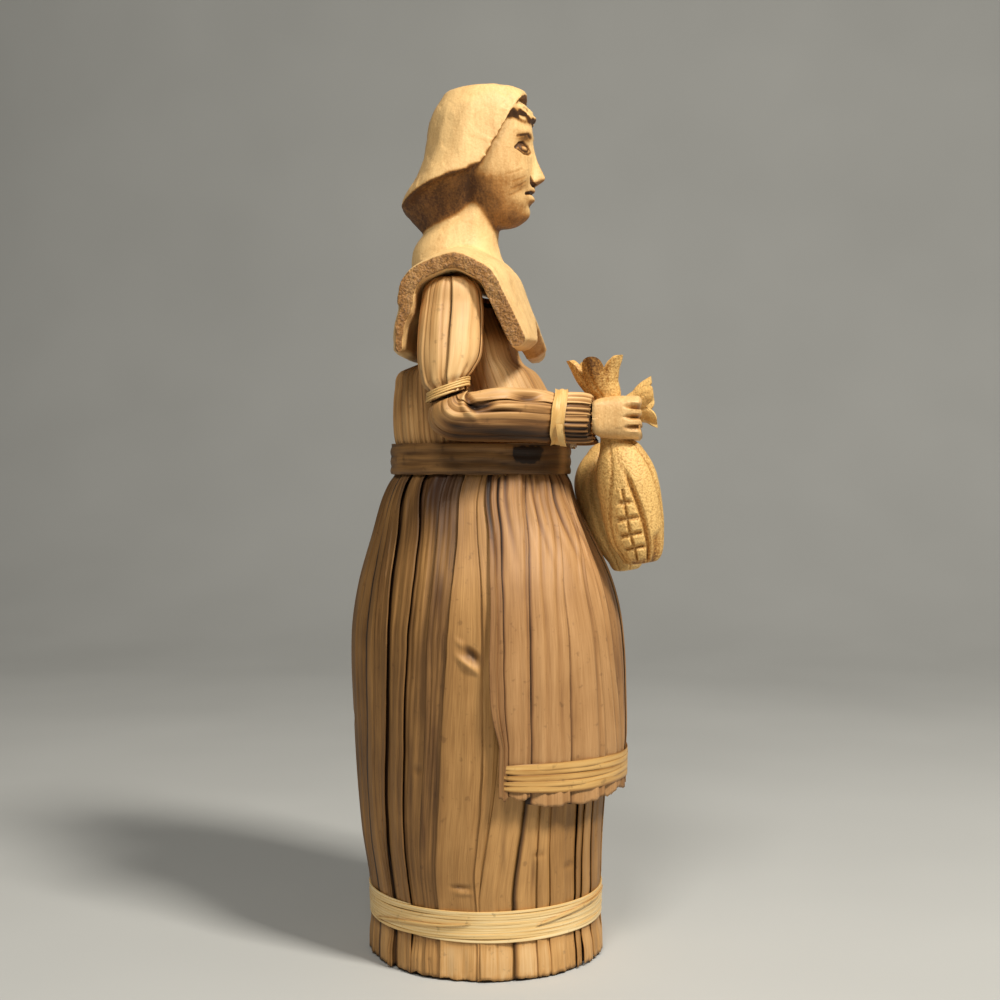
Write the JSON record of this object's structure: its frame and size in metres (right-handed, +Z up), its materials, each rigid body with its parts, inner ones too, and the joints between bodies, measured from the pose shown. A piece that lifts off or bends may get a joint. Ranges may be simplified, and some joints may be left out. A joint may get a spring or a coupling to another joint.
{
  "type": "corn husk doll",
  "caption": "Standing corn husk doll with a carved wooden head, hood and collar, a long leaf skirt, a tied apron and hinged arms that hold carved ears of corn.",
  "frame": {"origin": "centre of the skirt's base, on the surface that the doll stands on", "axes": "+Z up; the doll faces -Y; +X to the doll's left"},
  "size_m": [0.0925, 0.1014, 0.28],
  "materials": {
    "linden": "bare carved linden wood",
    "ear_wood": "bare carved wood, a little yellower",
    "skirt_leaf": "dried corn husk, tan brown",
    "apron_leaf": "dried corn husk, pinkish tan",
    "sleeve_leaf": "dried corn husk, light tan",
    "raffia": "golden raffia strands",
    "straw": "packed straw",
    "wire": "plain steel wire"
  },
  "bodies": {
    "figure": {"carved_bust": "linden", "neck_dowel": "linden", "skirt_core": "straw", "torso_core": "straw", "waist_tie": "raffia", "belt": "skirt_leaf", "hem_binding": "raffia", "apron_binding": "raffia", "skirt_strip_01": "skirt_leaf", "skirt_strip_02": "skirt_leaf", "skirt_strip_03": "skirt_leaf", "skirt_strip_04": "skirt_leaf", "skirt_strip_05": "skirt_leaf", "skirt_strip_06": "skirt_leaf", "skirt_strip_07": "skirt_leaf", "skirt_strip_08": "skirt_leaf", "skirt_strip_09": "skirt_leaf", "skirt_strip_10": "skirt_leaf", "skirt_strip_11": "skirt_leaf", "skirt_strip_12": "skirt_leaf", "skirt_strip_13": "skirt_leaf", "skirt_strip_14": "skirt_leaf", "skirt_strip_15": "skirt_leaf", "skirt_strip_16": "skirt_leaf", "skirt_strip_17": "skirt_leaf", "skirt_strip_18": "skirt_leaf", "skirt_strip_19": "skirt_leaf", "skirt_strip_20": "skirt_leaf", "skirt_strip_21": "skirt_leaf", "apron_strip_01": "apron_leaf", "apron_strip_02": "apron_leaf", "apron_strip_03": "apron_leaf", "apron_strip_04": "apron_leaf", "apron_strip_05": "apron_leaf", "apron_strip_06": "apron_leaf", "apron_strip_07": "apron_leaf", "apron_strip_08": "apron_leaf", "apron_strip_09": "apron_leaf", "apron_strip_10": "apron_leaf", "bodice_strip_01": "sleeve_leaf", "bodice_strip_02": "sleeve_leaf", "bodice_strip_03": "sleeve_leaf", "bodice_strip_04": "sleeve_leaf", "bodice_strip_05": "sleeve_leaf", "bodice_strip_06": "sleeve_leaf", "bodice_strip_07": "sleeve_leaf", "bodice_strip_08": "sleeve_leaf"},
    "arms": {"arm_wire": "wire", "right_upper_sleeve": "sleeve_leaf", "right_elbow_binding": "raffia", "right_forearm_sleeve": "sleeve_leaf", "right_wrist_binding": "raffia", "right_hand": "linden", "right_corn_ear": "ear_wood", "left_upper_sleeve": "sleeve_leaf", "left_elbow_binding": "raffia", "left_forearm_sleeve": "sleeve_leaf", "left_wrist_binding": "raffia", "left_hand": "linden", "left_corn_ear": "ear_wood"}
  },
  "joints": [
    {"name": "arms_swing", "type": "hinge", "parent": "figure", "child": "arms", "pos_m": [0, 0.0074, 0.207], "axis": [-1, 0, 0], "range_deg": [0, 15]}
  ]
}
